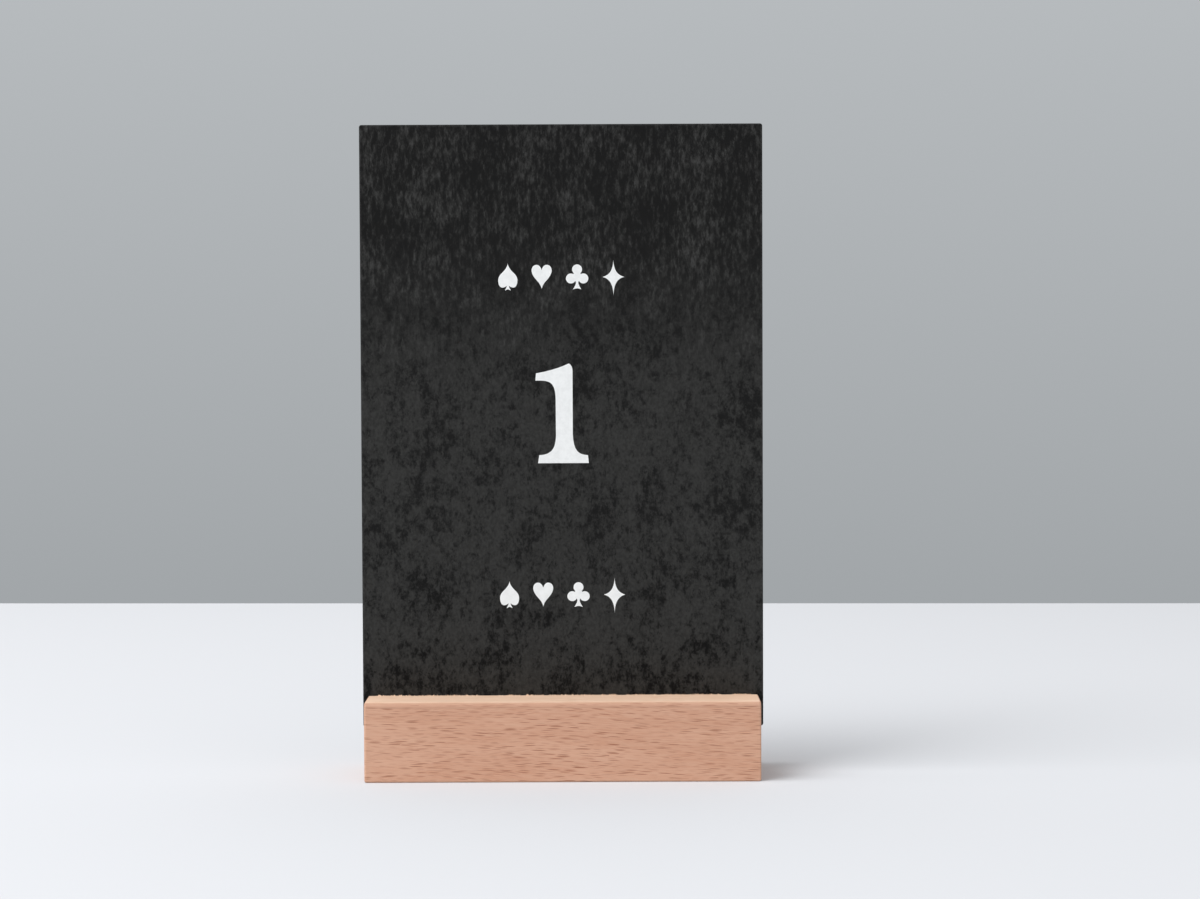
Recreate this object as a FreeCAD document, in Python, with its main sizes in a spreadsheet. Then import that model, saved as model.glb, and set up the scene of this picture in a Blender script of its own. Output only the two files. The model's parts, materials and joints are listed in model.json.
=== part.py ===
"""Table number stand: a stiff black card held upright in a slotted beech block.

Millimetres, +Z up. The printed side of the card faces -Y, and the slot runs along X.
The origin is the centre of the block's underside, on the table.
"""

import FreeCAD
import Part
import Sketcher

import os

# Every driving dimension, with its value in millimetres and what it measures.
SIZES = [
    ("block_length", 99.0, "beech block from end to end, along the slot"),
    ("block_depth", 30.0, "beech block from front to back"),
    ("block_height", 20.0, "beech block from the table to its top"),
    ("top_round", 1.5, "radius routed along the two long top edges"),
    ("arris_round", 0.5, "radius sanded round both ends and along the bottom edges"),
    ("slot_depth", 8.0, "saw cut below the block's top"),
    ("slot_clearance", 0.15, "play between the card and each wall of the slot"),
    ("slot_lead_in", 0.25, "bevel on the rims of the slot"),
    ("saw_overcut", 2.0, "how far the saw cut's profile stands above the block"),
    ("card_width", 101.6, "card from side to side, a little past both block ends"),
    ("card_height", 152.4, "card from its foot in the slot to its top"),
    ("card_thickness", 1.5, "black-core board"),
    ("card_corner", 0.6, "radius of the card's four corners"),
    ("card_edge_round", 0.2, "softened edge around both faces of the card"),
]

# How far a vertex may lie from a place and still count as being there.
NEAR = 1e-4

# The side of the rough square that a sketch starts from, before its sizes are bound.
START_SIDE = 2.0


def make_sheet(doc):
    """The spreadsheet of driving dimensions, one row each, which every feature is bound to."""
    sheet = doc.addObject("Spreadsheet::Sheet", "sizes")
    for row, (alias, value, meaning) in enumerate(SIZES, start=1):
        sheet.set(f"A{row}", alias)
        sheet.set(f"B{row}", str(value))
        sheet.set(f"C{row}", meaning)
        sheet.setAlias(f"B{row}", alias)
    doc.recompute()
    return sheet


def origin_plane(body, role):
    """One of the body's own origin planes, by its role."""
    return next(feature for feature in body.Origin.OriginFeatures if feature.Role == role)


def rectangle_sketch(body, name, role, width, height, rise):
    """A rectangle on an origin plane, centred on its upright axis, with its middle at rise."""
    sketch = body.newObject("Sketcher::SketchObject", name)
    sketch.AttachmentSupport = [(origin_plane(body, role), "")]
    sketch.MapMode = "FlatFace"
    half = START_SIDE / 2
    corners = [FreeCAD.Vector(x * half, y * half) for x, y in ((-1, -1), (1, -1), (1, 1), (-1, 1))]
    for here, there in zip(corners, corners[1:] + corners[:1]):
        sketch.addGeometry(Part.LineSegment(here, there), False)

    line_start, line_end, origin_point = 1, 2, (-1, 1)
    foot, right, top, left = range(4)
    for before, after in ((foot, right), (right, top), (top, left), (left, foot)):
        sketch.addConstraint(Sketcher.Constraint("Coincident", before, line_end, after, line_start))
    for level in (foot, top):
        sketch.addConstraint(Sketcher.Constraint("Horizontal", level))
    for upright in (right, left):
        sketch.addConstraint(Sketcher.Constraint("Vertical", upright))
    sketch.addConstraint(
        Sketcher.Constraint("Symmetric", foot, line_start, top, line_start, *origin_point)
    )
    for label, line, kind, size in (
        ("width", foot, "DistanceX", width),
        ("height", right, "DistanceY", height),
    ):
        index = sketch.addConstraint(
            Sketcher.Constraint(kind, line, line_start, line, line_end, START_SIDE)
        )
        sketch.renameConstraint(index, label)
        sketch.setExpression(f"Constraints.{label}", size)
    sketch.setExpression("AttachmentOffset.Base.y", rise)
    return sketch


def edge_names(shape, wanted):
    """The names of the edges whose every vertex passes a test of its point."""
    return [
        f"Edge{number}"
        for number, edge in enumerate(shape.Edges, start=1)
        if all(wanted(vertex.Point) for vertex in edge.Vertexes)
    ]


def dress(body, kind, name, base, edges, size_property, size):
    """A fillet or chamfer on some edges of the feature before it, bound to the sheet."""
    feature = body.newObject(f"PartDesign::{kind}", name)
    feature.Base = (base, edges)
    feature.setExpression(size_property, size)
    body.Document.recompute()
    return feature


def make_block(doc, sheet):
    """The beech block: a sawn blank, its edges rounded, with one slot along its whole length."""
    body = doc.addObject("PartDesign::Body", "base_block")
    footprint = rectangle_sketch(
        body, "footprint", "XY_Plane", "sizes.block_length", "sizes.block_depth", "0"
    )
    blank = body.newObject("PartDesign::Pad", "blank")
    blank.Profile = footprint
    blank.setExpression("Length", "sizes.block_height")
    doc.recompute()

    half_length = sheet.block_length / 2
    half_depth = sheet.block_depth / 2

    def on_top(point):
        return point.z > sheet.block_height - NEAR

    def on_end(end):
        return lambda point: abs(point.x - end * half_length) < NEAR

    def on_long_side(side):
        return lambda point: abs(point.y - side * half_depth) < NEAR

    long_tops = [
        name
        for side in (-1, 1)
        for name in edge_names(blank.Shape, lambda point: on_top(point) and on_long_side(side)(point))
    ]
    routed = dress(body, "Fillet", "routed_top", blank, long_tops, "Radius", "sizes.top_round")

    ends = [name for end in (-1, 1) for name in edge_names(routed.Shape, on_end(end))]
    long_bottoms = [
        name
        for side in (-1, 1)
        for name in edge_names(routed.Shape, lambda point: point.z < NEAR and on_long_side(side)(point))
    ]
    sanded = dress(
        body, "Fillet", "sanded_arrises", routed, ends + long_bottoms, "Radius", "sizes.arris_round"
    )

    kerf = rectangle_sketch(
        body,
        "saw_kerf",
        "YZ_Plane",
        "sizes.card_thickness + 2 * sizes.slot_clearance",
        "sizes.slot_depth + sizes.saw_overcut",
        "sizes.block_height + (sizes.saw_overcut - sizes.slot_depth) / 2",
    )
    slot = body.newObject("PartDesign::Pocket", "slot")
    slot.Profile = kerf
    slot.SideType = "Symmetric"
    slot.Type = "ThroughAll"
    doc.recompute()
    check_cut(sanded, slot, sheet)

    half_slot = sheet.card_thickness / 2 + sheet.slot_clearance

    def on_rim(point):
        return on_top(point) and abs(abs(point.y) - half_slot) < NEAR

    dress(
        body, "Chamfer", "eased_rims", slot, edge_names(slot.Shape, on_rim), "Size", "sizes.slot_lead_in"
    )
    return body


def check_cut(before, after, sheet):
    """The slot takes away its own section times the block's length, less what the rounds took."""
    removed = before.Shape.Volume - after.Shape.Volume
    section = (sheet.card_thickness + 2 * sheet.slot_clearance) * sheet.slot_depth
    whole = section * sheet.block_length
    rounds = section * 2 * sheet.arris_round
    if not whole - rounds < removed <= whole:
        raise RuntimeError(f"the slot removed {removed:.1f} mm3 and not about {whole:.1f} mm3")
    print(f"slot removed {removed:.1f} mm3 of {whole:.1f} mm3")


def make_card(doc, sheet):
    """The number card: one stiff sheet with small round corners, standing on the slot's floor."""
    body = doc.addObject("PartDesign::Body", "number_card")
    face = rectangle_sketch(
        body, "card_face", "XZ_Plane", "sizes.card_width", "sizes.card_height", "sizes.card_height / 2"
    )
    board = body.newObject("PartDesign::Pad", "board")
    board.Profile = face
    board.SideType = "Symmetric"
    board.setExpression("Length", "sizes.card_thickness")
    doc.recompute()

    corner_edges = [
        f"Edge{number}"
        for number, edge in enumerate(board.Shape.Edges, start=1)
        if abs(edge.BoundBox.YLength - sheet.card_thickness) < NEAR
    ]
    trimmed = dress(body, "Fillet", "trimmed_corners", board, corner_edges, "Radius", "sizes.card_corner")

    def on_front(point):
        return point.y < -sheet.card_thickness / 2 + NEAR

    def on_back(point):
        return point.y > sheet.card_thickness / 2 - NEAR

    rims = edge_names(trimmed.Shape, on_front) + edge_names(trimmed.Shape, on_back)
    dress(body, "Fillet", "softened_edges", trimmed, rims, "Radius", "sizes.card_edge_round")

    body.setExpression("Placement.Base.z", "sizes.block_height - sizes.slot_depth")
    doc.recompute()
    return body


def check_objects(doc, pieces):
    """Stops the build if a feature failed or a piece isn't one valid solid."""
    for item in doc.Objects:
        if {"Invalid", "Error"} & set(item.State):
            raise RuntimeError(f"{item.Label} failed: {item.State}")
    for piece in pieces:
        shape = piece.Shape
        if shape.isNull() or not shape.isValid() or len(shape.Solids) != 1:
            raise RuntimeError(f"{piece.Label} isn't one valid solid")


def write_pieces(pieces):
    """Writes each piece to parts/ under its own label, and prints what it measures."""
    os.makedirs("parts", exist_ok=True)
    for piece in pieces:
        piece.Shape.exportStep(os.path.join("parts", f"{piece.Label}.step"))
        box = piece.Shape.optimalBoundingBox(False, False)
        print(
            f"{piece.Label}: {box.XLength:.2f} x {box.YLength:.2f} x {box.ZLength:.2f} mm,"
            f" from z {box.ZMin:.2f}, {piece.Shape.Volume / 1000:.2f} cm3"
        )


def main():
    doc = FreeCAD.newDocument("table_number_stand")
    sheet = make_sheet(doc)
    pieces = [make_block(doc, sheet), make_card(doc, sheet)]
    doc.recompute()
    check_objects(doc, pieces)
    write_pieces(pieces)


main()
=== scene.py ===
# %% [markdown]
# # A table number stand
# A stiff black card with a printed number stands in a slot that is sawn along a beech block.
# The block and the card come from the CAD model, so their shape and place are settled before
# this lesson starts. What is left is what makes them look real: the light, the wood, the
# mottled board, the raised white ink and the torn fibres that the saw left along the slot.

import json
import math

import bmesh
import bpy
from mathutils import Color, Matrix, Vector

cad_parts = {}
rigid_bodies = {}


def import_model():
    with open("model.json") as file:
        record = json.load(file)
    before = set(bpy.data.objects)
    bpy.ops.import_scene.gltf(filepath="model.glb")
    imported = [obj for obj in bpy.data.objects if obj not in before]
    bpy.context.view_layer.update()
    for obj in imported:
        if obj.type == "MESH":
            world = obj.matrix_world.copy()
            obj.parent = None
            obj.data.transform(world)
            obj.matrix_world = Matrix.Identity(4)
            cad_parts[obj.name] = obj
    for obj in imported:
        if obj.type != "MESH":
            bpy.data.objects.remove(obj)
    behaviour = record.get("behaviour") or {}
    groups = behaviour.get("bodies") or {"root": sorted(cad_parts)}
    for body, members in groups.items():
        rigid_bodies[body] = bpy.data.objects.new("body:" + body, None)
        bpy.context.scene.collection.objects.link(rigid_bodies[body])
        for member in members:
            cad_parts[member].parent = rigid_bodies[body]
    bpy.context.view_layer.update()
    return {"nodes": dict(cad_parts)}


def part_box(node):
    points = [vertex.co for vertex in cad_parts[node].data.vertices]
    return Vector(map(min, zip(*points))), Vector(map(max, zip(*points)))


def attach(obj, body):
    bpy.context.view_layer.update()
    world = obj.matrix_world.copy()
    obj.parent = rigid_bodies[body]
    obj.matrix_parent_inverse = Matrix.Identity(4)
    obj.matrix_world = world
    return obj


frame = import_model()
MM = 0.001


# %% [markdown]
# ## The camera
# The picture was taken from a little above the middle of the card, with a long lens that keeps
# the card's sides nearly upright. Where the camera stood was worked out from the four corners
# of the card and the edges of the block. Typing the angles in keeps every later picture the
# same, which dragging a camera about by hand would not.

# %% Place the camera
SENSOR_WIDTH = 36.0
LENS = 85.0
NEAREST_SEEN = 0.01
CAMERA_PLACE = Vector((9.6, -717.0, 112.5)) * MM
LOOK_DOWN = math.radians(2.41)
ROLL = math.radians(-0.24)

camera_data = bpy.data.cameras.new("camera")
camera_data.sensor_fit = "HORIZONTAL"
camera_data.sensor_width = SENSOR_WIDTH
camera_data.lens = LENS
camera_data.clip_start = NEAREST_SEEN
camera = bpy.data.objects.new("camera", camera_data)
camera.matrix_world = (
    Matrix.Translation(CAMERA_PLACE)
    @ Matrix.Rotation(math.pi / 2 - LOOK_DOWN, 4, "X")
    @ Matrix.Rotation(ROLL, 4, "Z")
)
bpy.context.scene.collection.objects.link(camera)
bpy.context.scene.camera = camera
print(f"camera {CAMERA_PLACE.length:.2f} m from the middle of the block's foot")

# %% See where the card lands in the picture
PICTURE_WIDTH = 1200
PICTURE_HEIGHT = 899


def picture_place(point):
    """Where a point of the frame lands in the picture, in pixels from its upper left corner."""
    seen = camera.matrix_world.inverted() @ Vector(point)
    pixels_per_unit = LENS / SENSOR_WIDTH * PICTURE_WIDTH / -seen.z
    across = PICTURE_WIDTH / 2 + seen.x * pixels_per_unit
    down = PICTURE_HEIGHT / 2 - seen.y * pixels_per_unit
    return across, down


card_low, card_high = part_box("number_card")
for label, x in (("left", card_low.x), ("right", card_high.x)):
    across, down = picture_place((x, card_low.y, card_high.z))
    print(f"card's top {label} corner at {across:.1f}, {down:.1f} pixels")

# %% [markdown]
# ## Small tools for node trees
# The sky, the wood and the board are all built from nodes, and wiring them one line at a time
# hides the idea behind the plumbing. These helpers each add one node, give its sockets either a
# number or a link, and hand back what it puts out, so that a material reads like a sum.

# %% Node helpers
def feed(tree, socket, value):
    """Links the value if it comes from another node, and otherwise sets it."""
    if isinstance(value, bpy.types.NodeSocket):
        tree.links.new(value, socket)
    else:
        socket.default_value = value


def node(tree, kind, inputs=None, **settings):
    """A new node with its settings made and its named or numbered inputs fed."""
    made = tree.nodes.new(kind)
    for name, value in settings.items():
        setattr(made, name, value)
    for key, value in (inputs or {}).items():
        feed(tree, made.inputs[key], value)
    return made


def maths(tree, operation, first, second=0.0):
    """The result of one Math node."""
    return node(tree, "ShaderNodeMath", {0: first, 1: second}, operation=operation).outputs[0]


def vector_maths(tree, operation, first, second=(0.0, 0.0, 0.0)):
    """The result of one Vector Math node."""
    inputs = {0: first, 1: second}
    return node(tree, "ShaderNodeVectorMath", inputs, operation=operation).outputs[0]


def axes_of(tree, vector):
    """The three outputs of a vector taken apart."""
    return node(tree, "ShaderNodeSeparateXYZ", {"Vector": vector}).outputs


def along(tree, axis, length):
    """A vector that lies along one axis."""
    return node(tree, "ShaderNodeCombineXYZ", {axis: length}).outputs["Vector"]


def ramp(tree, value, low, high, to_low=0.0, to_high=1.0):
    """The value eased from one range to another, and held at both ends."""
    inputs = {
        "Value": value,
        "From Min": low,
        "From Max": high,
        "To Min": to_low,
        "To Max": to_high,
    }
    made = node(tree, "ShaderNodeMapRange", inputs, interpolation_type="SMOOTHSTEP")
    return made.outputs["Result"]


print("node helpers ready")

# %% Colour helpers
SCREEN_WHITE = 255

# A Mix node keeps sockets for numbers, vectors and colours under the same names, so the ones for
# colours are found by their place among them.
MIX_SHARE = 0
MIX_FIRST = 6
MIX_SECOND = 7
MIX_RESULT = 2


def linear(red, green, blue):
    """A colour given as 0 to 255 screen values, in the linear values that shaders want."""
    screen = Color((red / SCREEN_WHITE, green / SCREEN_WHITE, blue / SCREEN_WHITE))
    return (*screen.from_srgb_to_scene_linear(), 1.0)


def blend(tree, share, first, second):
    """Two colours mixed by a share that changes over the surface."""
    inputs = {MIX_SHARE: share, MIX_FIRST: first, MIX_SECOND: second}
    return node(tree, "ShaderNodeMix", inputs, data_type="RGBA").outputs[MIX_RESULT]


def layer(tree, under, mask, strength, colour):
    """A colour laid over another where a mask says, as strongly as the strength says."""
    return blend(tree, maths(tree, "MULTIPLY", mask, strength), under, colour)


print("middle grey is", round(linear(128, 128, 128)[0], 3), "in linear light")

# %% [markdown]
# ## Floor and light
# The stand is on a pale table top whose far edge is a straight line behind the card, a little
# askew to it, with a grey wall beyond. The floor is one flat face that ends at that edge. A mesh
# could stand in for the wall, but it would block the view from behind, so the wall is only a
# grey that the camera and reflections see in the world. All other rays meet an even white sky,
# and one big soft lamp on the left adds the gentle shadow on the right.

# %% Make the floor
FLOOR_REACH = 0.6
FLOOR_BACK = 0.448
FLOOR_BACK_SLANT = -0.0424
FLOOR_WHITE = linear(207, 209, 213)
FLOOR_ROUGHNESS = 0.9
FLOOR_SPECULAR = 0.1

scene = bpy.context.scene
scene.view_settings.view_transform = "Standard"

askew = FLOOR_BACK_SLANT * FLOOR_REACH
floor_corners = [
    (-FLOOR_REACH, -FLOOR_REACH, 0.0),
    (FLOOR_REACH, -FLOOR_REACH, 0.0),
    (FLOOR_REACH, FLOOR_BACK + askew, 0.0),
    (-FLOOR_REACH, FLOOR_BACK - askew, 0.0),
]
floor_mesh = bpy.data.meshes.new("floor")
floor_mesh.from_pydata(floor_corners, [], [(0, 1, 2, 3)])
floor = bpy.data.objects.new("floor", floor_mesh)
scene.collection.objects.link(floor)

floor_material = bpy.data.materials.new("pale_floor")
floor_material.use_nodes = True
floor_shader = floor_material.node_tree.nodes["Principled BSDF"]
floor_shader.inputs["Base Color"].default_value = FLOOR_WHITE
floor_shader.inputs["Roughness"].default_value = FLOOR_ROUGHNESS
floor_shader.inputs["Specular IOR Level"].default_value = FLOOR_SPECULAR
floor_mesh.materials.append(floor_material)
print(f"floor ends {FLOOR_BACK:.2f} m behind the card")

# %% Make the lamp
LAMP_WATTS = 54.8
LAMP_SIZE = 1.69
LAMP_PLACE = Vector((-1.24, -0.675, 1.935))
LAMP_AIM = Vector((0.0, 0.0, 0.06))

lamp_data = bpy.data.lights.new("soft_lamp", "AREA")
lamp_data.energy = LAMP_WATTS
lamp_data.size = LAMP_SIZE
lamp = bpy.data.objects.new("soft_lamp", lamp_data)
lamp.location = LAMP_PLACE
lamp.rotation_euler = (LAMP_AIM - LAMP_PLACE).to_track_quat("-Z", "Y").to_euler()
scene.collection.objects.link(lamp)
print(f"lamp {(LAMP_PLACE - LAMP_AIM).length:.2f} m from the card")

# %% Make the sky
SKY_WHITE = (1.0, 1.0, 1.0, 1.0)
SKY_STRENGTH = 0.69
WALL_LOW_GREY = linear(161, 165, 168)
WALL_HIGH_GREY = linear(183, 187, 190)
WALL_LOW_SLOPE = -0.1
WALL_HIGH_SLOPE = 0.12

world = bpy.data.worlds.new("sky_and_wall")
world.use_nodes = True
scene.world = world
tree = world.node_tree
tree.nodes.clear()
slope = axes_of(tree, node(tree, "ShaderNodeTexCoord").outputs["Generated"])["Z"]
slopes = {"Value": slope, "From Min": WALL_LOW_SLOPE, "From Max": WALL_HIGH_SLOPE}
height_share = node(tree, "ShaderNodeMapRange", slopes).outputs["Result"]
wall_grey = blend(tree, height_share, WALL_LOW_GREY, WALL_HIGH_GREY)
wall = node(tree, "ShaderNodeBackground", {"Color": wall_grey}).outputs[0]
sky = node(tree, "ShaderNodeBackground", {"Color": SKY_WHITE, "Strength": SKY_STRENGTH}).outputs[0]

ray = node(tree, "ShaderNodeLightPath").outputs
shows_wall = ray["Is Camera Ray"]
for kind in ("Is Glossy Ray", "Is Transmission Ray"):
    shows_wall = maths(tree, "MAXIMUM", shows_wall, ray[kind])
either = node(tree, "ShaderNodeMixShader", {"Fac": shows_wall, 1: sky, 2: wall}).outputs[0]
node(tree, "ShaderNodeOutputWorld", {"Surface": either})
print("sky at strength", SKY_STRENGTH)

# %% [markdown]
# ## Three effects that the finishes share
# Wood fibres, board mottling and ink clouding are all soft spots, often longer one way than
# another, so one group makes stretched noise with its spot size in millimetres. A second group
# makes short separate dashes, for the beech's rays and the ink's pinholes. A third finds the
# edges of a box-shaped piece, where hands rub the finish and where the beech also gets a painted
# highlight. Each could be wired afresh in every material, but a group is built once, so a
# correction to it reaches them all.

# %% Group helpers
def new_group(name, inputs, outputs):
    """An empty shader group with named sockets, and its inner inputs and outputs."""
    made = bpy.data.node_groups.new(name, "ShaderNodeTree")
    for label, kind, value in inputs:
        socket = made.interface.new_socket(label, in_out="INPUT", socket_type=f"NodeSocket{kind}")
        socket.default_value = value
    for label, kind in outputs:
        made.interface.new_socket(label, in_out="OUTPUT", socket_type=f"NodeSocket{kind}")
    given = made.nodes.new("NodeGroupInput").outputs
    wanted = made.nodes.new("NodeGroupOutput").inputs
    return made, given, wanted


def use_group(tree, group, **inputs):
    """The outputs of a group placed in a tree, with its inputs fed by name."""
    made = node(tree, "ShaderNodeGroup", node_tree=group)
    for name, value in inputs.items():
        feed(tree, made.inputs[name.replace("_", " ").capitalize()], value)
    return made.outputs


print("group helpers ready")

# %% Group: stretched noise
NOISE_MIDDLE = 0.5

noise_group, given, wanted = new_group(
    "stretched_noise",
    [
        ("Place", "Vector", (0.0, 0.0, 0.0)),
        ("Spot", "Vector", (1.0, 1.0, 1.0)),
        ("Detail", "Float", 2.0),
        ("Roughness", "Float", 0.5),
    ],
    [("Value", "Float")],
)
in_spots = vector_maths(noise_group, "DIVIDE", given["Place"], given["Spot"])
noise = node(
    noise_group,
    "ShaderNodeTexNoise",
    {
        "Vector": in_spots,
        "Scale": 1.0,
        "Detail": given["Detail"],
        "Roughness": given["Roughness"],
    },
)
feed(noise_group, wanted["Value"], noise.outputs[0])


def spots(tree, place, spot, detail, roughness=0.5):
    """Stretched noise, with the width of its spots along each axis in millimetres."""
    settings = {"place": place, "spot": spot, "detail": detail, "roughness": roughness}
    return use_group(tree, noise_group, **settings)["Value"]


def swing(tree, value, reach):
    """Noise moved to lie about zero, and stretched."""
    return maths(tree, "MULTIPLY", maths(tree, "SUBTRACT", value, NOISE_MIDDLE), reach)


print("made group", noise_group.name)

# %% Group: separate dashes
SMALLEST_DASH = 0.45

dash_group, given, wanted = new_group(
    "separate_dashes",
    [
        ("Place", "Vector", (0.0, 0.0, 0.0)),
        ("Spacing", "Vector", (1.0, 1.0, 1.0)),
        ("Size", "Float", 0.3),
        ("Softness", "Float", 0.15),
    ],
    [("Mask", "Float"), ("Pick", "Float")],
)
in_cells = vector_maths(dash_group, "DIVIDE", given["Place"], given["Spacing"])
cells = node(dash_group, "ShaderNodeTexVoronoi", {"Vector": in_cells, "Scale": 1.0}).outputs
pick = axes_of(dash_group, cells["Color"])["X"]
own_size = ramp(dash_group, pick, 0.0, 1.0, SMALLEST_DASH, 1.0)
reach = maths(dash_group, "MULTIPLY", given["Size"], own_size)
core = maths(dash_group, "SUBTRACT", reach, given["Softness"])
mask = ramp(dash_group, cells["Distance"], core, reach, 1.0, 0.0)
feed(dash_group, wanted["Mask"], mask)
feed(dash_group, wanted["Pick"], pick)


def dashes(tree, place, spacing, size, softness):
    """A mask of separate dashes, and a pick from 0 to 1 that each dash has for its own."""
    settings = {"place": place, "spacing": spacing, "size": size, "softness": softness}
    return use_group(tree, dash_group, **settings)


print("made group", dash_group.name)

# %% Group: edge bands
EDGE_RAGGED_SPOT = (1.6, 1.6, 1.6)
EDGE_RAGGED_SWING = 4.0

edge_group, given, wanted = new_group(
    "edge_bands",
    [
        ("Place", "Vector", (0.0, 0.0, 0.0)),
        ("Middle", "Vector", (0.0, 0.0, 0.0)),
        ("Half size", "Vector", (1.0, 1.0, 1.0)),
        ("Width", "Float", 1.0),
        ("Raggedness", "Float", 0.5),
    ],
    [("Mask", "Float")],
)
from_middle = vector_maths(edge_group, "SUBTRACT", given["Place"], given["Middle"])
outward = vector_maths(edge_group, "ABSOLUTE", from_middle)
depths = vector_maths(edge_group, "SUBTRACT", given["Half size"], outward)
depth_x, depth_y, depth_z = axes_of(edge_group, depths)

# The middle one of the three depths is small only where two faces meet.
smaller = maths(edge_group, "MINIMUM", depth_x, depth_y)
larger = maths(edge_group, "MAXIMUM", depth_x, depth_y)
to_edge = maths(edge_group, "MAXIMUM", smaller, maths(edge_group, "MINIMUM", larger, depth_z))
shake = swing(edge_group, spots(edge_group, given["Place"], EDGE_RAGGED_SPOT, detail=3.0), EDGE_RAGGED_SWING)
ragged = maths(edge_group, "MULTIPLY", shake, given["Raggedness"])
uneven = maths(edge_group, "ADD", to_edge, ragged)
feed(edge_group, wanted["Mask"], ramp(edge_group, uneven, 0.0, given["Width"], 1.0, 0.0))


def edge_band(tree, place, name, width, raggedness):
    """A mask along the edges of a CAD node, with the width of the band in millimetres."""
    low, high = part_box(name)
    settings = {
        "place": place,
        "middle": (low + high) / 2 / MM,
        "half_size": (high - low) / 2 / MM,
        "width": width,
        "raggedness": raggedness,
    }
    return use_group(tree, edge_group, **settings)["Mask"]


print("made group", edge_group.name)

# %% [markdown]
# ## Beech
# Beech is a warm pinkish tan. Its rays are thin sheets that run from the middle of the tree
# outwards, so on the front they show end on as short dark dashes along the grain, and on the
# ends as fine lines from front to back. The grain climbs a little along the block. The top is
# paler than the front, partly by its own tone and partly by painted light from above, and the
# routed edges between them get painted shade that tones down the light they catch. A picture of
# wood wrapped round the block would show a seam at every edge. Noise fills space, so one pattern
# stretched the right way in each direction gives every face its own look, with no seams.

# %% Material helpers
def start_material(name):
    """A new material, its tree, its shader, and the place on the piece in millimetres."""
    material = bpy.data.materials.new(name)
    material.use_nodes = True
    made = material.node_tree
    inputs = {0: node(made, "ShaderNodeTexCoord").outputs["Object"], "Scale": 1 / MM}
    place = node(made, "ShaderNodeVectorMath", inputs, operation="SCALE").outputs[0]
    return material, made, made.nodes["Principled BSDF"], place


def give_relief(tree, shader, height, strength, distance):
    """Makes a surface catch the light as if its heights were real."""
    inputs = {"Height": height, "Strength": strength, "Distance": distance}
    feed(tree, shader.inputs["Normal"], node(tree, "ShaderNodeBump", inputs).outputs["Normal"])


def finish_node(name, material):
    """Gives every material slot of a CAD node the same finish."""
    for material_slot in frame["nodes"][name].material_slots:
        material_slot.material = material
    print(name, "is", material.name)


print("material helpers ready")

# %% Beech: the grain's way
SWAY_SPOT = (46.0, 60.0, 14.0)
GRAIN_SWAY = 3.0
GRAIN_SLOPE = 0.04

beech, tree, shader, place = start_material("oiled_beech")
rise = swing(tree, spots(tree, place, SWAY_SPOT, detail=1.0), GRAIN_SWAY)
climb = maths(tree, "MULTIPLY", axes_of(tree, place)["X"], GRAIN_SLOPE)
grain = vector_maths(tree, "ADD", place, along(tree, "Z", maths(tree, "ADD", rise, climb)))
print(f"grain climbs {GRAIN_SLOPE * 100:.0f} mm in 100 mm")

# %% Beech: fibres and rings
BROAD_SPOT = (38.0, 9.0, 4.5)
FINE_SPOT = (7.0, 0.5, 0.32)
FROM_TREE_MIDDLE = (0.0, 46.0, 9.0)
RING_SCALE = 0.115

broad = spots(tree, grain, BROAD_SPOT, detail=3.0, roughness=0.55)
fine = spots(tree, grain, FINE_SPOT, detail=3.0, roughness=0.6)
rings = node(
    tree,
    "ShaderNodeTexWave",
    {
        "Vector": vector_maths(tree, "ADD", grain, FROM_TREE_MIDDLE),
        "Scale": RING_SCALE,
        "Distortion": 3.0,
        "Detail": 2.0,
        "Detail Scale": 0.6,
    },
    wave_type="RINGS",
    rings_direction="X",
).outputs["Fac"]
print("beech has", len(tree.nodes), "nodes so far")

# %% Beech: rays
RAY_SPACING = (4.6, 30.0, 0.28)
RAY_STAGGER = -2.3
SMALL_RAY_SPACING = (3.8, 24.0, 0.24)
SMALL_RAY_STAGGER = -1.7


def staggered(pull):
    """The grain pushed along itself by its height, so that no two rows of rays line up."""
    push = maths(tree, "MULTIPLY", axes_of(tree, grain)["Z"], pull)
    return vector_maths(tree, "ADD", grain, along(tree, "X", push))


rays = dashes(tree, staggered(RAY_STAGGER), RAY_SPACING, size=0.5, softness=0.26)
small_rays = dashes(
    tree, staggered(SMALL_RAY_STAGGER), SMALL_RAY_SPACING, size=0.48, softness=0.26
)
print("a ray is at most", RAY_SPACING[0], "mm long")

# %% Beech: which way a face looks
facing = node(tree, "ShaderNodeTexCoord").outputs["Normal"]
across, _, upward = axes_of(tree, facing)

# Upward is 1 on the top, 0 on the sides and ends, and about 0.7 halfway round a routed edge.
on_top = ramp(tree, upward, 0.72, 1.0)
off_side = ramp(tree, upward, 0.0, 0.15)
almost_flat = ramp(tree, upward, 0.87, 0.99)
on_round = maths(tree, "SUBTRACT", off_side, almost_flat)
on_end = ramp(tree, maths(tree, "ABSOLUTE", across), 0.6, 0.95)
on_side = maths(tree, "SUBTRACT", 1.0, maths(tree, "MAXIMUM", on_top, on_end))
print("beech knows its top, rounds, ends and sides")

# %% Beech: colour of the wood
DARK_WOOD = linear(200, 150, 123)
LIGHT_WOOD = linear(208, 161, 135)
RING_TAN = linear(186, 133, 106)
FIBRE_TAN = linear(214, 172, 147)
RAY_BROWN = linear(152, 98, 72)
SMALL_RAY_BROWN = linear(166, 112, 86)

wood = blend(tree, ramp(tree, broad, 0.34, 0.66), DARK_WOOD, LIGHT_WOOD)
ring_strength = ramp(tree, on_end, 0.0, 1.0, 0.15, 0.6)
wood = layer(tree, wood, rings, ring_strength, RING_TAN)
wood = blend(tree, ramp(tree, fine, 0.32, 0.68, 0.0, 0.48), wood, FIBRE_TAN)

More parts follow.
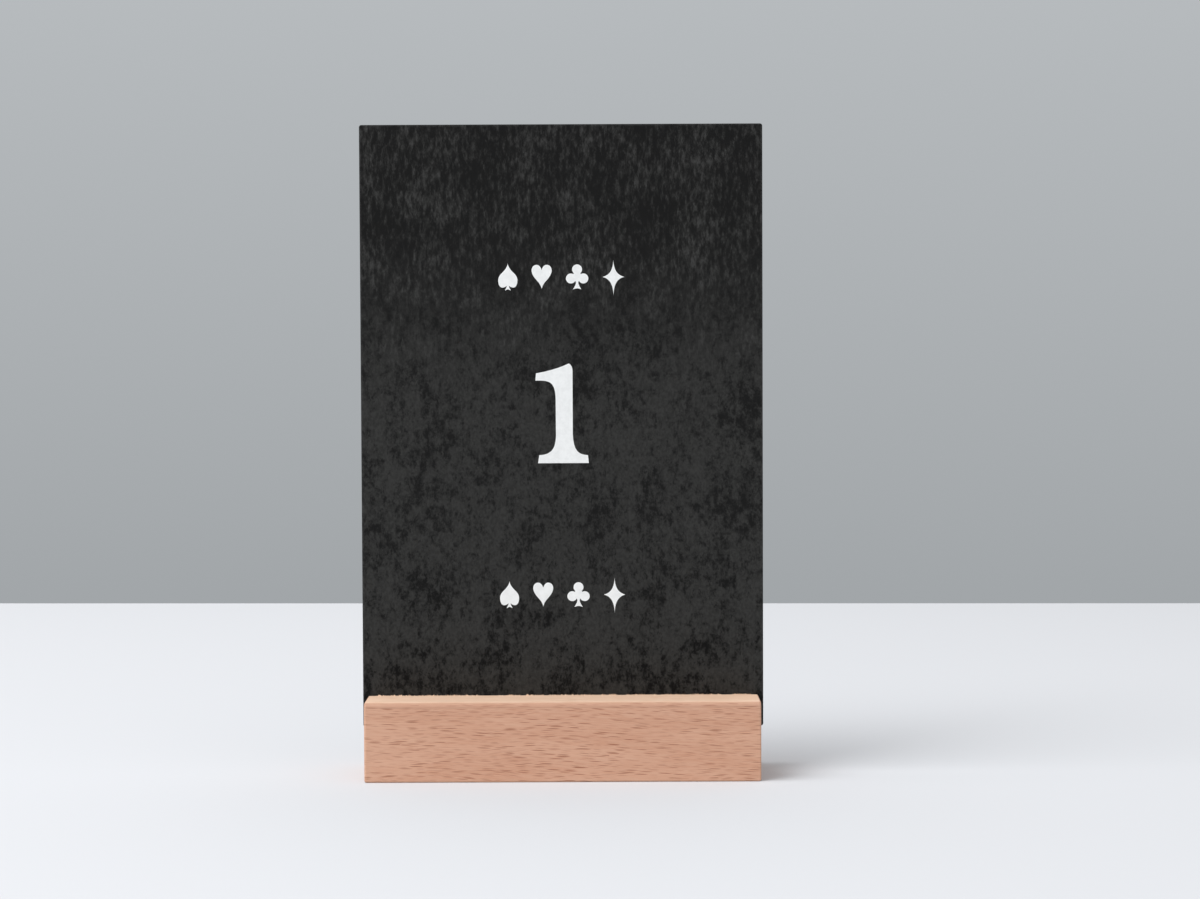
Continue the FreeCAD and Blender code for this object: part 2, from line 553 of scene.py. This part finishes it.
own_strength = ramp(tree, rays["Pick"], 0.0, 1.0, 0.35, 0.9)
side_strength = ramp(tree, on_side, 0.0, 1.0, 0.5, 1.0)
ray_strength = maths(tree, "MULTIPLY", own_strength, side_strength)
wood = layer(tree, wood, rays["Mask"], ray_strength, RAY_BROWN)
small_ray_strength = ramp(tree, on_side, 0.0, 1.0, 0.15, 0.42)
wood = layer(tree, wood, small_rays["Mask"], small_ray_strength, SMALL_RAY_BROWN)
print("wood coloured with", len(tree.nodes), "nodes")

# %% Beech: colour of each face, with painted light and shade
TOP_TAN_WITH_PAINTED_LIGHT = linear(228, 193, 165)
TOP_PALE_WITH_PAINTED_LIGHT = linear(239, 209, 184)
TOP_PAINTED_LIGHT_STRENGTH = 0.82
ROUND_PAINTED_SHADE = linear(167, 127, 105)
ROUND_PAINTED_SHADE_STRENGTH = 0.5
END_BROWN = linear(176, 126, 98)
END_STRENGTH = 0.35
EDGE_HIGHLIGHT_AND_WEAR_TAN = linear(222, 186, 160)
EDGE_HIGHLIGHT_AND_WEAR_STRENGTH = 0.15

# The top is paler partly by its own tone and partly by painted light from above.
top_wood_with_painted_light = blend(tree, ramp(tree, fine, 0.34, 0.62), TOP_TAN_WITH_PAINTED_LIGHT, TOP_PALE_WITH_PAINTED_LIGHT)
wood = layer(tree, wood, on_top, TOP_PAINTED_LIGHT_STRENGTH, top_wood_with_painted_light)
# Painted shade on the routed rounds and the slot's chamfer, which tones down the highlight the lamp
# puts on them.
wood = layer(tree, wood, on_round, ROUND_PAINTED_SHADE_STRENGTH, ROUND_PAINTED_SHADE)
wood = layer(tree, wood, on_end, END_STRENGTH, END_BROWN)
# Paler edges: partly a rubbed finish and partly a painted highlight along every edge.
edge_highlight_and_wear = edge_band(tree, place, "base_block", width=0.9, raggedness=0.25)
wood = layer(tree, wood, edge_highlight_and_wear, EDGE_HIGHLIGHT_AND_WEAR_STRENGTH, EDGE_HIGHLIGHT_AND_WEAR_TAN)
feed(tree, shader.inputs["Base Color"], wood)
print("beech colour done with", len(tree.nodes), "nodes")

# %% Beech: sheen and feel
BEECH_BUMP = 0.05 * MM
BEECH_SPECULAR = 0.35
RAY_DEPTH = 0.7

feed(tree, shader.inputs["Roughness"], ramp(tree, fine, 0.2, 0.8, 0.62, 0.5))
shader.inputs["Specular IOR Level"].default_value = BEECH_SPECULAR
hollow = maths(tree, "MULTIPLY", rays["Mask"], RAY_DEPTH)
relief = maths(tree, "SUBTRACT", fine, hollow)
give_relief(tree, shader, relief, strength=0.6, distance=BEECH_BUMP)
finish_node("base_block", beech)

# %% [markdown]
# ## Black board
# The card is matt black board with a mottled face. Near the top the mottling is pulled into
# upright streaks, as a wide dry brush leaves it, and lower down it breaks into small cloudy
# patches, which are darkest near the foot. The edges are a little greyer, where the board has
# been handled. Painting this by hand would cover one face only. Two noises with different spot
# sizes make the two kinds on every face, and the height on the card fades one into the other.

# %% Board: streaks and patches
STREAK_SPOT = (1.0, 2.5, 2.7)
PATCH_SPOT = (1.6, 1.6, 2.4)
CLOUD_SPOT = (13.0, 9.0, 15.0)
CLOUD_LIFT = 36.0
CLOUD_PULL = 0.35
BRUSHED_FROM = 108.0
BRUSHED_TO = 158.0

board, tree, shader, place = start_material("mottled_black_board")
streaks = spots(tree, place, STREAK_SPOT, detail=6.0, roughness=0.74)
patches = spots(tree, place, PATCH_SPOT, detail=6.0, roughness=0.78)
clouds = spots(tree, place, CLOUD_SPOT, detail=2.0)
height = axes_of(tree, place)["Z"]
loose_height = maths(tree, "ADD", height, maths(tree, "MULTIPLY", clouds, CLOUD_LIFT))
brushed = ramp(tree, loose_height, BRUSHED_FROM, BRUSHED_TO)
cloud_pull = swing(tree, clouds, CLOUD_PULL)
cloudy_streaks = maths(tree, "ADD", streaks, cloud_pull)
cloudy_patches = maths(tree, "ADD", patches, cloud_pull)
print("board has", len(tree.nodes), "nodes so far")

# %% Board: mottle
upper = ramp(tree, cloudy_streaks, 0.425, 0.675)
lower = ramp(tree, cloudy_patches, 0.36, 0.56)
change = maths(tree, "SUBTRACT", upper, lower)
mottle = maths(tree, "ADD", lower, maths(tree, "MULTIPLY", brushed, change))
mid_lift = CLOUD_LIFT * NOISE_MIDDLE
print(f"streaks take over {BRUSHED_FROM - mid_lift:.0f} to {BRUSHED_TO - mid_lift:.0f} mm up")

# %% Board: colour
SPECKLE_SPOT = (0.5, 0.5, 0.7)
BOARD_GREY = linear(40, 40, 39)
SPECKLE_GREY = linear(51, 51, 50)
PATCH_BLACK = linear(20, 20, 20)
FOOT_BLACK = linear(9, 9, 9)
FOOT_FROM = 26.0
FOOT_TO = 64.0
STREAK_GREY = linear(66, 66, 66)
RUBBED_GREY = linear(70, 70, 70)
RUBBED_STRENGTH = 0.3

speckle = spots(tree, place, SPECKLE_SPOT, detail=2.0)
grey = blend(tree, ramp(tree, speckle, 0.3, 0.7), BOARD_GREY, SPECKLE_GREY)
near_foot = ramp(tree, height, FOOT_FROM, FOOT_TO, 1.0, 0.0)
dark = blend(tree, near_foot, PATCH_BLACK, FOOT_BLACK)
black = blend(tree, mottle, dark, grey)
bright_streaks = ramp(tree, cloudy_streaks, 0.56, 0.76, 0.0, 0.7)
black = layer(tree, black, bright_streaks, brushed, STREAK_GREY)
rubbed = edge_band(tree, place, "number_card", width=0.6, raggedness=0.3)
black = layer(tree, black, rubbed, RUBBED_STRENGTH, RUBBED_GREY)
feed(tree, shader.inputs["Base Color"], black)
print("board colour done with", len(tree.nodes), "nodes")

# %% Board: sheen and feel
BOARD_BUMP = 0.04 * MM
BOARD_SPECULAR = 0.15

feed(tree, shader.inputs["Roughness"], ramp(tree, mottle, 0.0, 1.0, 0.85, 0.7))
shader.inputs["Specular IOR Level"].default_value = BOARD_SPECULAR
give_relief(tree, shader, mottle, strength=0.5, distance=BOARD_BUMP)
finish_node("number_card", board)

# %% [markdown]
# ## White ink
# The number and the four card suits are screen printed: a thin, flat coat of white ink that
# stands just proud of the board. It could be painted into the board's material, but as a piece
# of its own the print has a real edge that catches the light. The coat is not perfectly even,
# so its material has faint clouding, a few pinholes and a fine orange-peel bump.

# %% Ink
COAT_SPOT = (1.4, 1.4, 1.4)
THIN_WHITE = linear(229, 231, 231)
FULL_WHITE = linear(238, 240, 240)
PINHOLE_SPACING = (0.9, 0.9, 0.9)
PINHOLE_GREY = linear(150, 150, 150)
PINHOLE_STRENGTH = 0.25
INK_BUMP = 0.01 * MM
INK_SPECULAR = 0.3

ink, tree, shader, place = start_material("screen_printed_white")
coat = spots(tree, place, COAT_SPOT, detail=4.0, roughness=0.6)
pinholes = dashes(tree, place, PINHOLE_SPACING, size=0.1, softness=0.05)["Mask"]
white = blend(tree, ramp(tree, coat, 0.3, 0.7), THIN_WHITE, FULL_WHITE)
white = layer(tree, white, pinholes, PINHOLE_STRENGTH, PINHOLE_GREY)
feed(tree, shader.inputs["Base Color"], white)
feed(tree, shader.inputs["Roughness"], ramp(tree, coat, 0.3, 0.7, 0.6, 0.48))
shader.inputs["Specular IOR Level"].default_value = INK_SPECULAR
give_relief(tree, shader, coat, strength=0.4, distance=INK_BUMP)
print("made", ink.name)

# %% [markdown]
# ## Drawing the printed shapes
# A printed shape is a closed outline filled with ink. Each one is drawn here the way a sign
# writer would draw it, as a few straight lines, arcs and smooth curves in millimetres, and then
# given a back, a thin wall and a slightly rounded rim. A font could give the number, but drawing
# it in code keeps every shape plain and the script free of any font file. The suits need only
# their right half.

# %% Outline helpers
CURVE_STEPS = 14
ARC_STEPS = 28


def line_to(end):
    """A straight move of the pen."""
    return lambda _start: [end]


def shared_point(shares, corners):
    """The point that each of the corners has a share in."""
    x = sum(share * corner[0] for share, corner in zip(shares, corners))
    y = sum(share * corner[1] for share, corner in zip(shares, corners))
    return x, y


def curve_to(first_pull, second_pull, end):
    """A smooth move of the pen, pulled towards two points on its way."""
    def points(start):
        made = []
        for step in range(1, CURVE_STEPS + 1):
            t = step / CURVE_STEPS
            shares = ((1 - t) ** 3, 3 * (1 - t) ** 2 * t, 3 * (1 - t) * t**2, t**3)
            made.append(shared_point(shares, (start, first_pull, second_pull, end)))
        return made

    return points


def arc(middle, radius, start_angle, end_angle):
    """Part of a circle, from one angle to another, in degrees."""
    def points(_start):
        made = []
        for step in range(ARC_STEPS + 1):
            angle = math.radians(start_angle + (end_angle - start_angle) * step / ARC_STEPS)
            x = middle[0] + radius * math.cos(angle)
            y = middle[1] + radius * math.sin(angle)
            made.append((x, y))
        return made

    return points


def draw(start, *moves):
    """The points of an outline that starts at one place and makes the moves in turn."""
    points = [start]
    for move in moves:
        points.extend(move(points[-1]))
    return points


def with_mirror(right_half):
    """A closed outline from its right half, which runs from the top middle to the bottom middle."""
    left_half = [(-x, y) for x, y in reversed(right_half[1:-1])]
    return right_half + left_half


print("pen ready")

# %% Shape an inked solid
INK_SUNK = 0.02 * MM
INK_PROUD = 0.03 * MM
INK_RIM = 0.02 * MM


def inward_steps(points):
    """For each point of an outline, the direction that leads straight into the shape."""
    area = sum(a.x * b.y - b.x * a.y for a, b in zip(points, points[1:] + points[:1]))
    turn = 1.0 if area > 0 else -1.0
    steps = []
    for before, after in zip(points[-1:] + points[:-1], points[1:] + points[:1]):
        tangent = (after - before).normalized()
        steps.append(Vector((-tangent.y, tangent.x)) * turn)
    return steps


def inked_mesh(name, outline):
    """A thin closed solid on the plane y = 0, with its printed side towards -y."""
    flat = [Vector(point) * MM for point in outline]
    inner = [point + step * INK_RIM for point, step in zip(flat, inward_steps(flat))]
    shape = bmesh.new()
    rings = [
        [shape.verts.new((point.x, depth, point.y)) for point in ring]
        for ring, depth in ((flat, INK_SUNK), (flat, -INK_PROUD / 2), (inner, -INK_PROUD))
    ]
    for lower, upper in zip(rings, rings[1:]):
        for here in range(len(flat)):
            there = (here + 1) % len(flat)
            shape.faces.new((lower[here], lower[there], upper[there], upper[here]))
    sides = [shape.faces.new(rings[0]), shape.faces.new(rings[-1])]
    shape.normal_update()
    bmesh.ops.triangulate(shape, faces=sides)
    bmesh.ops.recalc_face_normals(shape, faces=shape.faces)
    mesh = bpy.data.meshes.new(name)
    shape.to_mesh(mesh)
    shape.free()
    mesh.materials.append(ink)
    return mesh


print("ink stands", INK_PROUD / MM, "mm proud of the board")

# %% [markdown]
# ## The number
# The number is an upright numeral one with a flag at its head and a bracketed foot, the old
# book-face form that is easy to read across a room. It is a single closed outline, so it is
# drawn once and set straight into its place on the card's front.

# %% Number
NUMBER_BASE = 78.88 * MM
number_outline = draw(
    (-6.07, 0.06),
    line_to((6.77, 0.06)),
    line_to((6.56, 2.06)),
    curve_to((4.05, 2.2), (2.89, 3.25), (2.74, 7.5)),
    line_to((2.73, 23.4)),
    curve_to((2.73, 24.25), (2.4, 24.97), (1.77, 25.27)),
    curve_to((-0.58, 24.14), (-3.56, 23.29), (-6.5, 22.81)),
    line_to((-6.65, 20.97)),
    curve_to((-3.25, 21.0), (-1.64, 20.95), (-1.56, 16.2)),
    line_to((-1.52, 7.0)),
    curve_to((-1.64, 3.25), (-3.05, 2.24), (-5.76, 2.09)),
)
number_mesh = inked_mesh("printed_number", number_outline)
number_mesh.transform(Matrix.Translation((0.0, card_low.y, NUMBER_BASE)))
printed_number = bpy.data.objects.new("printed_number", number_mesh)
scene.collection.objects.link(printed_number)
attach(printed_number, "card")
print("number has", len(number_mesh.polygons), "faces")

# %% [markdown]
# ## The four suits
# Spade, heart, club and diamond are each the same left and right. The diamond has hollow sides,
# so it reads as a four-pointed star. They are set as type is, with equal gaps between marks of
# unequal width, so their places are measured from the outlines and not typed in.

# %% Suit outlines
LOBE = 1.26
TOP_LOBE = (0.0, 1.78)
SIDE_LOBE = (1.57, -0.5)
suit_outlines = {
    "spade": with_mirror(
        draw(
            (0.0, 3.34),
            curve_to((0.15, 2.34), (0.84, 1.58), (1.58, 0.86)),
            curve_to((2.12, 0.34), (2.42, -0.25), (2.42, -0.93)),
            curve_to((2.42, -1.95), (2.02, -2.73), (1.39, -2.73)),
            curve_to((0.92, -2.73), (0.53, -2.55), (0.25, -2.2)),
            curve_to((0.33, -2.7), (0.5, -3.04), (0.74, -3.37)),
            line_to((0.66, -3.44)),
            curve_to((0.44, -3.3), (0.2, -3.2), (0.0, -3.18)),
        )
    ),
    "heart": with_mirror(
        draw(
            (0.0, 1.64),
            curve_to((0.19, 2.42), (0.67, 2.97), (1.27, 2.97)),
            curve_to((2.01, 2.97), (2.53, 2.38), (2.53, 1.62)),
            curve_to((2.53, 0.5), (1.68, -0.44), (0.94, -1.28)),
            curve_to((0.43, -1.84), (0.11, -2.58), (0.0, -3.13)),
        )
    ),
    "club": with_mirror(
        draw(
            (0.0, TOP_LOBE[1] + LOBE),
            arc(TOP_LOBE, LOBE, 88.0, -52.0),
            arc(SIDE_LOBE, LOBE, 118.0, -150.0),
            curve_to((0.04, -1.45), (0.5, -2.4), (1.08, -3.26)),
            curve_to((0.7, -3.1), (0.3, -3.0), (0.0, -3.0)),
        )
    ),
    "diamond": with_mirror(
        draw(
            (0.0, 4.14),
            curve_to((0.12, 1.52), (0.98, 0.32), (2.74, -0.14)),
            curve_to((0.98, -0.6), (0.12, -1.88), (0.0, -4.72)),
        )
    ),
}
for suit, outline in suit_outlines.items():
    print(suit, "has", len(outline), "points")

# %% [markdown]
# ## Two rows of suits
# The same four marks are printed above and below the number. That is a repeat, so Geometry
# Nodes set it out: a mesh with one point for each mark carries the number of the mark it wants,
# and the tree puts that mark on each point. Moving a row is then a matter of moving points.

# %% Geometry node helpers
def new_geometry_tree(name, inputs):
    """An empty modifier tree, its inner inputs, and the identifiers of those that have a name."""
    made = bpy.data.node_groups.new(name, "GeometryNodeTree")
    made.is_modifier = True
    made.interface.new_socket("Geometry", in_out="OUTPUT", socket_type="NodeSocketGeometry")
    made.interface.new_socket("Geometry", in_out="INPUT", socket_type="NodeSocketGeometry")
    identifiers = {}
    for label, kind in inputs:
        socket = made.interface.new_socket(label, in_out="INPUT", socket_type=f"NodeSocket{kind}")
        identifiers[label] = socket.identifier
    return made, made.nodes.new("NodeGroupInput").outputs, identifiers


def end_geometry_tree(tree, instances, material):
    """Ends a tree: its instances are made real, given their material and put out."""
    solid = node(tree, "GeometryNodeRealizeInstances", {"Geometry": instances}).outputs[0]
    inputs = {"Geometry": solid, "Material": material}
    coated = node(tree, "GeometryNodeSetMaterial", inputs).outputs[0]
    feed(tree, tree.nodes.new("NodeGroupOutput").inputs[0], coated)


def grown_mesh(name, host_mesh, geometry_tree, identifiers, values):
    """The plain mesh that a geometry tree grows from a host mesh."""
    host = bpy.data.objects.new(name, host_mesh)
    scene.collection.objects.link(host)
    modifier = host.modifiers.new(name, "NODES")
    modifier.node_group = geometry_tree
    for label, value in values.items():
        modifier[identifiers[label]] = value
    depsgraph = bpy.context.evaluated_depsgraph_get()
    mesh = bpy.data.meshes.new_from_object(host.evaluated_get(depsgraph), depsgraph=depsgraph)
    mesh.name = name
    bpy.data.objects.remove(host)
    return mesh


print("geometry helpers ready")

# %% Marks to choose from
marks = bpy.data.collections.new("suit_marks")
scene.collection.children.link(marks)
for suit, outline in suit_outlines.items():
    marks.objects.link(bpy.data.objects.new(suit, inked_mesh(suit, outline)))
mark_number = {suit: number for number, suit in enumerate(sorted(suit_outlines))}
print("marks are numbered", mark_number)

# %% Points to put them on
MARK_GAP = 3.59
ROW_LEVELS = (126.08, 45.66)


def row_places(level):
    """The middle of each mark in a row that is centred on the card, as (suit, x, z)."""
    half_widths = {suit: max(x for x, _ in outline) for suit, outline in suit_outlines.items()}
    row_width = 2 * sum(half_widths.values()) + MARK_GAP * (len(half_widths) - 1)
    pen = -row_width / 2
    places = []
    for suit, half_width in half_widths.items():
        places.append((suit, pen + half_width, level))
        pen += 2 * half_width + MARK_GAP
    return places


mark_places = [mark_place for level in ROW_LEVELS for mark_place in row_places(level)]
points_mesh = bpy.data.meshes.new("mark_points")
points_mesh.from_pydata([(x * MM, card_low.y, z * MM) for _, x, z in mark_places], [], [])
choice = points_mesh.attributes.new("mark", "INT", "POINT")
choice.data.foreach_set("value", [mark_number[suit] for suit, _, _ in mark_places])
print("upper row starts at", [round(value, 2) for value in mark_places[0][1:]])

# %% Tree: suit rows
rows_tree, given, rows_inputs = new_geometry_tree(
    "suit_rows", [("Marks", "Collection"), ("Ink", "Material")]
)
picked = node(
    rows_tree,
    "GeometryNodeCollectionInfo",
    {"Collection": given["Marks"], "Separate Children": True},
)
named = node(rows_tree, "GeometryNodeInputNamedAttribute", {"Name": "mark"}, data_type="INT")
wanted_mark = next(out for out in named.outputs if out.enabled and out.name == "Attribute")
set_out = node(
    rows_tree,
    "GeometryNodeInstanceOnPoints",
    {
        "Points": given["Geometry"],
        "Instance": picked.outputs[0],
        "Pick Instance": True,
        "Instance Index": wanted_mark,
    },
)
end_geometry_tree(rows_tree, set_out.outputs[0], given["Ink"])
print("row tree has", len(rows_tree.nodes), "nodes")

# %% Print the rows
row_values = {"Marks": marks, "Ink": ink}
rows_mesh = grown_mesh("suit_rows", points_mesh, rows_tree, rows_inputs, row_values)
for mark in list(marks.objects):
    bpy.data.objects.remove(mark)
bpy.data.collections.remove(marks)
suit_rows = bpy.data.objects.new("suit_rows", rows_mesh)
scene.collection.objects.link(suit_rows)
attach(suit_rows, "card")
print("suit rows have", len(rows_mesh.polygons), "faces")

# %% [markdown]
# ## Torn fibres along the slot
# A saw leaves tiny splinters standing on the rim of its cut. They are too many and too small to
# place one by one, and they follow the rim, so Geometry Nodes scatter thin spikes along two
# lines, one on each side of the slot. Noise thins them into clumps, and every spike leans over
# the slot without reaching the card. Torn wood has no oil on it, so it is paler than the block,
# and its colour also holds painted light from above, as the block's top does.

# %% Torn beech
WISP_SPOT = (0.3, 0.3, 0.9)
# Part of the fibres' paleness is painted light from above, matching the block's top.
TORN_TAN_WITH_PAINTED_LIGHT = linear(222, 188, 160)
TORN_PALE_WITH_PAINTED_LIGHT = linear(238, 211, 186)
TORN_SPECULAR = 0.2

torn_beech, tree, shader, place = start_material("torn_beech")
wisps = spots(tree, place, WISP_SPOT, detail=3.0, roughness=0.6)
torn_tone_with_painted_light = blend(tree, ramp(tree, wisps, 0.3, 0.7), TORN_TAN_WITH_PAINTED_LIGHT, TORN_PALE_WITH_PAINTED_LIGHT)
feed(tree, shader.inputs["Base Color"], torn_tone_with_painted_light)
feed(tree, shader.inputs["Roughness"], ramp(tree, wisps, 0.3, 0.7, 0.8, 0.65))
shader.inputs["Specular IOR Level"].default_value = TORN_SPECULAR
give_relief(tree, shader, wisps, strength=0.5, distance=BEECH_BUMP)
print("made", torn_beech.name)

# %% Lines to follow
RIM_FROM_CARD = 0.42 * MM
RIM_DROP = 0.12 * MM
RIM_END = 2.0 * MM

_, block_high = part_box("base_block")
rim_offset = card_high.y + RIM_FROM_CARD
rim_level = block_high.z - RIM_DROP
rim_reach = block_high.x - RIM_END
rim_ends = [(x, y, rim_level) for y in (-rim_offset, rim_offset) for x in (-rim_reach, rim_reach)]
rim_mesh = bpy.data.meshes.new("slot_rims")
rim_mesh.from_pydata(rim_ends, [(0, 1), (2, 3)], [])
print("rims run", round(2 * rim_reach / MM, 1), "mm")

# %% Tree: spikes and where they stand
CLUMP_SCALE = 260.0
CLUMP_LEAST = 0.42
SPIKE_SIDES = 5

fibre_tree, given, fibre_inputs = new_geometry_tree(
    "torn_fibres",
    [
        ("Count", "Int"),
        ("Length", "Float"),
        ("Thickness", "Float"),
        ("Lean", "Float"),
        ("Seed", "Int"),
        ("Wood", "Material"),
    ],
)
rim_curve = node(fibre_tree, "GeometryNodeMeshToCurve", {"Mesh": given["Geometry"]}).outputs[0]
along_rim = node(
    fibre_tree, "GeometryNodeCurveToPoints", {"Curve": rim_curve, "Count": given["Count"]}
)
where = node(fibre_tree, "GeometryNodeInputPosition").outputs[0]
clump = node(
    fibre_tree, "ShaderNodeTexNoise", {"Vector": where, "Scale": CLUMP_SCALE, "Detail": 2.0}
)
kept = node(
    fibre_tree,
    "FunctionNodeCompare",
    {0: clump.outputs[0], 1: CLUMP_LEAST},
    operation="GREATER_THAN",
)
spike = node(
    fibre_tree,
    "GeometryNodeMeshCone",
    {"Vertices": SPIKE_SIDES, "Radius Bottom": given["Thickness"], "Depth": given["Length"]},
)
print("spikes have", SPIKE_SIDES, "sides")

# %% Tree: a size and a lean for each spike
LEAST_SIZE = (0.6, 0.5, 0.35)
MOST_SIZE = (1.8, 1.0, 1.0)
LEAST_TWIST = (-0.15, -0.5, 0.0)
MOST_TWIST = (0.15, 0.5, 3.0)


def random_between(least, most):
    """A vector between two others that differs from spike to spike."""
    inputs = {"Min": least, "Max": most, "Seed": given["Seed"]}
    made = node(fibre_tree, "FunctionNodeRandomValue", inputs, data_type="FLOAT_VECTOR")
    return made.outputs[0]


spike_size = random_between(LEAST_SIZE, MOST_SIZE)
twist = random_between(LEAST_TWIST, MOST_TWIST)
side = maths(fibre_tree, "SIGN", axes_of(fibre_tree, where)["Y"])
tip_over = maths(fibre_tree, "MULTIPLY", side, given["Lean"])
stood = node(
    fibre_tree,
    "GeometryNodeInstanceOnPoints",
    {
        "Points": along_rim.outputs[0],
        "Selection": kept.outputs[0],
        "Instance": spike.outputs[0],
        "Rotation": vector_maths(fibre_tree, "ADD", twist, along(fibre_tree, "X", tip_over)),
        "Scale": spike_size,
    },
)
end_geometry_tree(fibre_tree, stood.outputs[0], given["Wood"])
print("fibre tree has", len(fibre_tree.nodes), "nodes")

# %% Grow the fibres
fibre_values = {
    "Count": 380,
    "Length": 0.52 * MM,
    "Thickness": 0.17 * MM,
    "Lean": 0.25,
    "Seed": 7,
    "Wood": torn_beech,
}
fibre_mesh = grown_mesh("torn_fibres", rim_mesh, fibre_tree, fibre_inputs, fibre_values)
torn_fibres = bpy.data.objects.new("torn_fibres", fibre_mesh)
scene.collection.objects.link(torn_fibres)
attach(torn_fibres, "stand")
heights = [vertex.co.z / MM for vertex in fibre_mesh.vertices]
nearest = min(abs(vertex.co.y) for vertex in fibre_mesh.vertices) / MM
print(f"fibres: {len(fibre_mesh.polygons)} faces, z {min(heights):.2f} to {max(heights):.2f} mm")
print(f"the nearest tip is {nearest - card_high.y / MM:.2f} mm from the card")
